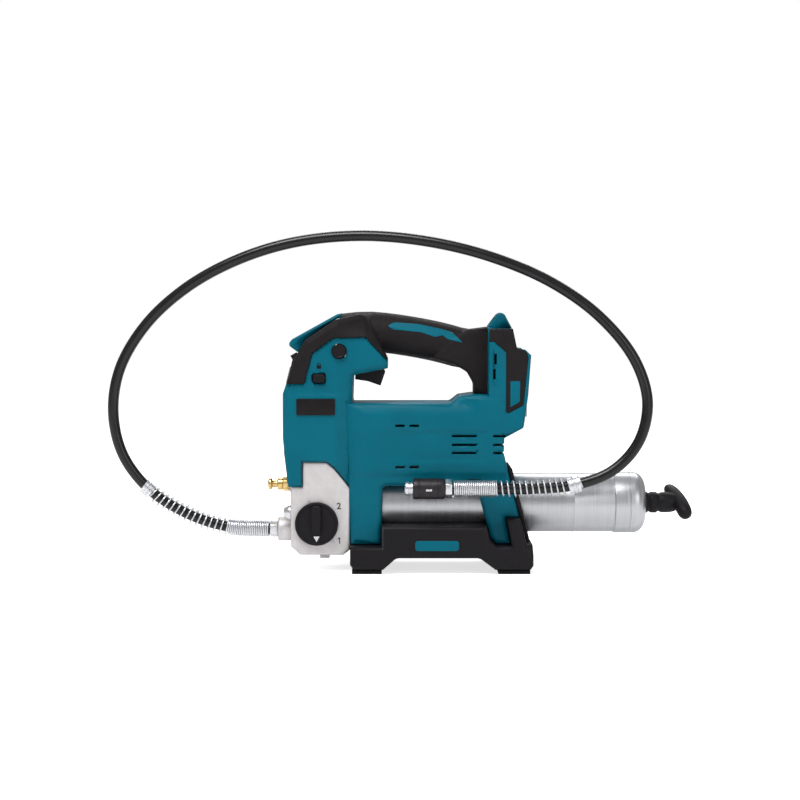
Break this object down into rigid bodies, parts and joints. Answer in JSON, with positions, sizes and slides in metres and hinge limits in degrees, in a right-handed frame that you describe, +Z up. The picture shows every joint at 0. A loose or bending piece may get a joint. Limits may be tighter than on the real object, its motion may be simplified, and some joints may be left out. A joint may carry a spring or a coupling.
{
  "type": "cordless grease gun",
  "caption": "Battery-powered grease gun standing on its feet: closed-loop handle, die-cast pump, steel grease barrel, and a stiff high-pressure hose arching over to a side clip.",
  "frame": {"origin": "bottom centre of the tool's box without the hose, on the plane its feet stand on", "axes": "+X back along the barrel to its T-handle, +Y to the tool's right, +Z up"},
  "size_m": [0.5718, 0.122, 0.3291],
  "materials": {
    "housing_nylon": "moulded, satin",
    "soft_overmould": "fine textured",
    "black_nylon": "moulded, satin",
    "foot_rubber": "matt",
    "cast_aluminium": "bead blasted die casting",
    "barrel_steel": "drawn tube, satin",
    "zinc_plate": "zinc plated",
    "brass": "turned",
    "machined_steel": "machined",
    "lens": "clear",
    "board": "solder resist",
    "label": "printed foil, blank",
    "hose_rubber": "smooth, glossy",
    "copper_windings": "lacquered"
  },
  "bodies": {
    "frame": {"housing_left": "housing_nylon", "housing_right": "housing_nylon", "grip_cover_left": "soft_overmould", "grip_cover_right": "soft_overmould", "rear_cover_left": "black_nylon", "rear_cover_right": "black_nylon", "front_strap_hook": "housing_nylon", "rear_strap_hook": "housing_nylon", "lamp_housing": "black_nylon", "lamp_lens": "lens", "rating_plate": "label", "pump_block": "cast_aluminium", "outlet_fitting": "zinc_plate", "loader_nipple": "brass", "gear_plate": "cast_aluminium", "motor_can": "machined_steel", "barrel": "barrel_steel", "barrel_cap": "barrel_steel", "barrel_collar": "foot_rubber", "follower_spring": "machined_steel", "base_stand": "black_nylon", "front_foot_pad": "foot_rubber", "rear_foot_pad": "foot_rubber", "trigger_spring": "machined_steel", "switch_unit": "black_nylon", "control_board": "board", "terminal_block": "black_nylon", "terminal_blade_left": "brass", "terminal_blade_right": "brass", "battery_rail_left": "machined_steel", "battery_rail_right": "machined_steel", "hose": "hose_rubber", "hose_guard_front": "zinc_plate", "hose_guard_rear": "zinc_plate", "ferrule_front": "zinc_plate", "ferrule_rear": "zinc_plate", "coupler_nut": "zinc_plate", "coupler_sleeve": "black_nylon", "coupler_nozzle": "zinc_plate", "hose_clip": "black_nylon", "housing_screw_1": "zinc_plate", "housing_screw_2": "zinc_plate", "housing_screw_3": "zinc_plate", "housing_screw_4": "zinc_plate", "housing_screw_5": "zinc_plate", "housing_screw_6": "zinc_plate"},
    "trigger": {"trigger": "black_nylon"},
    "lock_off_button": {"lock_off_button": "black_nylon"},
    "lock_on_button": {"lock_on_button": "black_nylon"},
    "speed_dial": {"speed_dial": "black_nylon"},
    "bleeder_valve": {"bleeder_valve": "zinc_plate"},
    "follower": {"follower_rod": "zinc_plate", "follower_cup": "foot_rubber", "tee_handle": "black_nylon"},
    "rotor": {"armature": "copper_windings", "cooling_fan": "black_nylon", "drive_pinion": "machined_steel"},
    "crank": {"crank_gear": "machined_steel"},
    "plunger": {"plunger": "machined_steel"}
  },
  "joints": [
    {"name": "trigger_pull", "type": "hinge", "parent": "frame", "child": "trigger", "pos_m": [-0.1195, 0, 0.1945], "axis": [0, -1, 0], "range_deg": [0, 12], "stiffness_Nm_per_rad": 0.4, "springref_deg": -20.05, "deforming": ["trigger_spring"]},
    {"name": "lock_off_push", "type": "slide", "parent": "frame", "child": "lock_off_button", "axis": [0, 1, 0], "range_m": [0, 0.003]},
    {"name": "lock_on_push", "type": "slide", "parent": "frame", "child": "lock_on_button", "axis": [0, 1, 0], "range_m": [0, 0.0012], "stiffness_N_per_m": 400, "springref_m": -0.002},
    {"name": "dial_turn", "type": "hinge", "parent": "frame", "child": "speed_dial", "pos_m": [-0.1588, -0.036, 0.0467], "axis": [0, -1, 0], "range_deg": [0, 127.5]},
    {"name": "bleeder_turn", "type": "hinge", "parent": "frame", "child": "bleeder_valve", "pos_m": [-0.186, -0.018, 0.056], "axis": [-1, 0, 0], "range_deg": [0, 360]},
    {"name": "follower_pull", "type": "slide", "parent": "frame", "child": "follower", "axis": [1, 0, 0], "range_m": [0, 0.2], "deforming": ["follower_spring"]},
    {"name": "crank_spin", "type": "hinge", "parent": "frame", "child": "crank", "pos_m": [-0.145, 0, 0.1471], "axis": [1, 0, 0], "continuous": true},
    {"name": "rotor_spin", "type": "hinge", "parent": "frame", "child": "rotor", "pos_m": [-0.1, 0, 0.123], "axis": [1, 0, 0], "continuous": true},
    {"name": "plunger_stroke", "type": "slide", "parent": "frame", "child": "plunger", "axis": [0, 0, 1], "range_m": [-0.004, 0.004]}
  ],
  "couplings": [
    {"joint": "crank_spin", "follows": "rotor_spin", "ratio": -0.33333}
  ]
}
